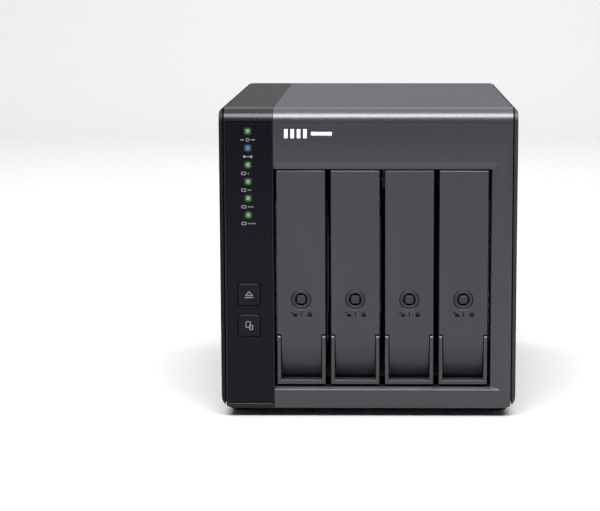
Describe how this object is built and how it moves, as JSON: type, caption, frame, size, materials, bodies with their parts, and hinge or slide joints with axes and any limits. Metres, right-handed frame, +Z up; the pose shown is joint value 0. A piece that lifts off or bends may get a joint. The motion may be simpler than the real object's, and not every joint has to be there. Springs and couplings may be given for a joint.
{
  "type": "nas enclosure",
  "caption": "Desktop drive enclosure with lockable pull-out trays side by side, a black control strip with lights and buttons, and a rear fan.",
  "frame": {"origin": "middle of the footprint, on the surface that the feet stand on", "axes": "+Z up, the front with the trays faces -Y, +X to the right of someone who faces the front"},
  "size_m": [0.16, 0.219, 0.1685],
  "materials": {
    "bezel_grey": "satin",
    "control_black": "satin",
    "window_black": "gloss",
    "top_grey": "satin",
    "strip_grey": "satin",
    "left_panel_black": "satin",
    "right_panel_grey": "satin",
    "base_grey": "satin",
    "rear_black": "satin",
    "foot_rubber": "matte",
    "cage_steel": "satin",
    "guide_plastic": "matte",
    "board_green": "satin",
    "connector_black": "matte",
    "screw_steel": "satin",
    "light_green": "gloss",
    "light_blue": "gloss",
    "emblem_white": "satin",
    "button_black": "gloss",
    "switch_ivory": "satin",
    "slider_white": "satin",
    "port_metal": "satin",
    "fan_black": "satin",
    "tray_grey": "satin",
    "handle_grey": "satin",
    "carrier_steel": "satin",
    "lock_dark": "satin",
    "drive_aluminium": "satin"
  },
  "bodies": {
    "enclosure": {"front_bezel": "bezel_grey", "control_bezel": "control_black", "control_window": "window_black", "top_cover": "top_grey", "top_strip": "strip_grey", "left_side_panel": "left_panel_black", "right_side_panel": "right_panel_grey", "base_plate": "base_grey", "rear_panel": "rear_black", "feet": "foot_rubber", "cage_left_wall": "cage_steel", "cage_right_wall": "cage_steel", "cage_top_guides": "guide_plastic", "cage_bottom_guides": "guide_plastic", "backplane_board": "board_green", "sata_connectors": "connector_black", "main_board": "board_green", "front_board": "board_green", "board_screws": "screw_steel", "green_light_pipes": "light_green", "blue_light_pipe": "light_blue", "emblem": "emblem_white", "mode_switch_body": "switch_ivory", "usb_c_port": "port_metal", "dc_jack": "connector_black", "panel_screws": "screw_steel", "fan_frame": "fan_black", "fan_guard": "rear_black", "fan_screws": "screw_steel"},
    "tray_1": {"tray_front_1": "tray_grey", "tray_carrier_1": "carrier_steel", "drive_1": "drive_aluminium", "drive_screws_1": "screw_steel"},
    "handle_1": {"tray_handle_1": "handle_grey"},
    "lock_1": {"tray_lock_1": "lock_dark"},
    "tray_2": {"tray_front_2": "tray_grey", "tray_carrier_2": "carrier_steel", "drive_2": "drive_aluminium", "drive_screws_2": "screw_steel"},
    "handle_2": {"tray_handle_2": "handle_grey"},
    "lock_2": {"tray_lock_2": "lock_dark"},
    "tray_3": {"tray_front_3": "tray_grey", "tray_carrier_3": "carrier_steel", "drive_3": "drive_aluminium", "drive_screws_3": "screw_steel"},
    "handle_3": {"tray_handle_3": "handle_grey"},
    "lock_3": {"tray_lock_3": "lock_dark"},
    "tray_4": {"tray_front_4": "tray_grey", "tray_carrier_4": "carrier_steel", "drive_4": "drive_aluminium", "drive_screws_4": "screw_steel"},
    "handle_4": {"tray_handle_4": "handle_grey"},
    "lock_4": {"tray_lock_4": "lock_dark"},
    "eject_button": {"eject_button": "button_black"},
    "copy_button": {"copy_button": "button_black"},
    "rear_power_button": {"rear_power_button": "button_black"},
    "mode_slider_1": {"mode_slider_1": "slider_white"},
    "mode_slider_2": {"mode_slider_2": "slider_white"},
    "mode_slider_3": {"mode_slider_3": "slider_white"},
    "fan_rotor": {"fan_rotor": "fan_black"}
  },
  "joints": [
    {"name": "tray_1_slide", "type": "slide", "parent": "enclosure", "child": "tray_1", "axis": [0, -1, 0], "range_m": [0, 0.175]},
    {"name": "handle_1_swing", "type": "hinge", "parent": "tray_1", "child": "handle_1", "pos_m": [-0.03645, -0.1051, 0.0428], "axis": [-1, 0, 0], "range_deg": [0, 75]},
    {"name": "lock_1_turn", "type": "hinge", "parent": "tray_1", "child": "lock_1", "pos_m": [-0.03645, -0.1025, 0.0646], "axis": [0, 1, 0], "range_deg": [0, 90]},
    {"name": "tray_2_slide", "type": "slide", "parent": "enclosure", "child": "tray_2", "axis": [0, -1, 0], "range_m": [0, 0.175]},
    {"name": "handle_2_swing", "type": "hinge", "parent": "tray_2", "child": "handle_2", "pos_m": [-0.00715, -0.1051, 0.0428], "axis": [-1, 0, 0], "range_deg": [0, 75]},
    {"name": "lock_2_turn", "type": "hinge", "parent": "tray_2", "child": "lock_2", "pos_m": [-0.00715, -0.1025, 0.0646], "axis": [0, 1, 0], "range_deg": [0, 90]},
    {"name": "tray_3_slide", "type": "slide", "parent": "enclosure", "child": "tray_3", "axis": [0, -1, 0], "range_m": [0, 0.175]},
    {"name": "handle_3_swing", "type": "hinge", "parent": "tray_3", "child": "handle_3", "pos_m": [0.02215, -0.1051, 0.0428], "axis": [-1, 0, 0], "range_deg": [0, 75]},
    {"name": "lock_3_turn", "type": "hinge", "parent": "tray_3", "child": "lock_3", "pos_m": [0.02215, -0.1025, 0.0646], "axis": [0, 1, 0], "range_deg": [0, 90]},
    {"name": "tray_4_slide", "type": "slide", "parent": "enclosure", "child": "tray_4", "axis": [0, -1, 0], "range_m": [0, 0.175]},
    {"name": "handle_4_swing", "type": "hinge", "parent": "tray_4", "child": "handle_4", "pos_m": [0.05145, -0.1051, 0.0428], "axis": [-1, 0, 0], "range_deg": [0, 75]},
    {"name": "lock_4_turn", "type": "hinge", "parent": "tray_4", "child": "lock_4", "pos_m": [0.05145, -0.1025, 0.0646], "axis": [0, 1, 0], "range_deg": [0, 90]},
    {"name": "eject_press", "type": "slide", "parent": "enclosure", "child": "eject_button", "axis": [0, 1, 0], "range_m": [0, 0.0012], "stiffness_N_per_m": 600},
    {"name": "copy_press", "type": "slide", "parent": "enclosure", "child": "copy_button", "axis": [0, 1, 0], "range_m": [0, 0.0012], "stiffness_N_per_m": 600},
    {"name": "power_press", "type": "slide", "parent": "enclosure", "child": "rear_power_button", "axis": [0, -1, 0], "range_m": [0, 0.0012], "stiffness_N_per_m": 600},
    {"name": "mode_1_slide", "type": "slide", "parent": "enclosure", "child": "mode_slider_1", "axis": [1, 0, 0], "range_m": [0, 0.0024]},
    {"name": "mode_2_slide", "type": "slide", "parent": "enclosure", "child": "mode_slider_2", "axis": [1, 0, 0], "range_m": [0, 0.0024]},
    {"name": "mode_3_slide", "type": "slide", "parent": "enclosure", "child": "mode_slider_3", "axis": [1, 0, 0], "range_m": [0, 0.0024]},
    {"name": "fan_spin", "type": "hinge", "parent": "enclosure", "child": "fan_rotor", "pos_m": [0.0075, 0.093, 0.082], "axis": [0, 1, 0], "continuous": true}
  ]
}
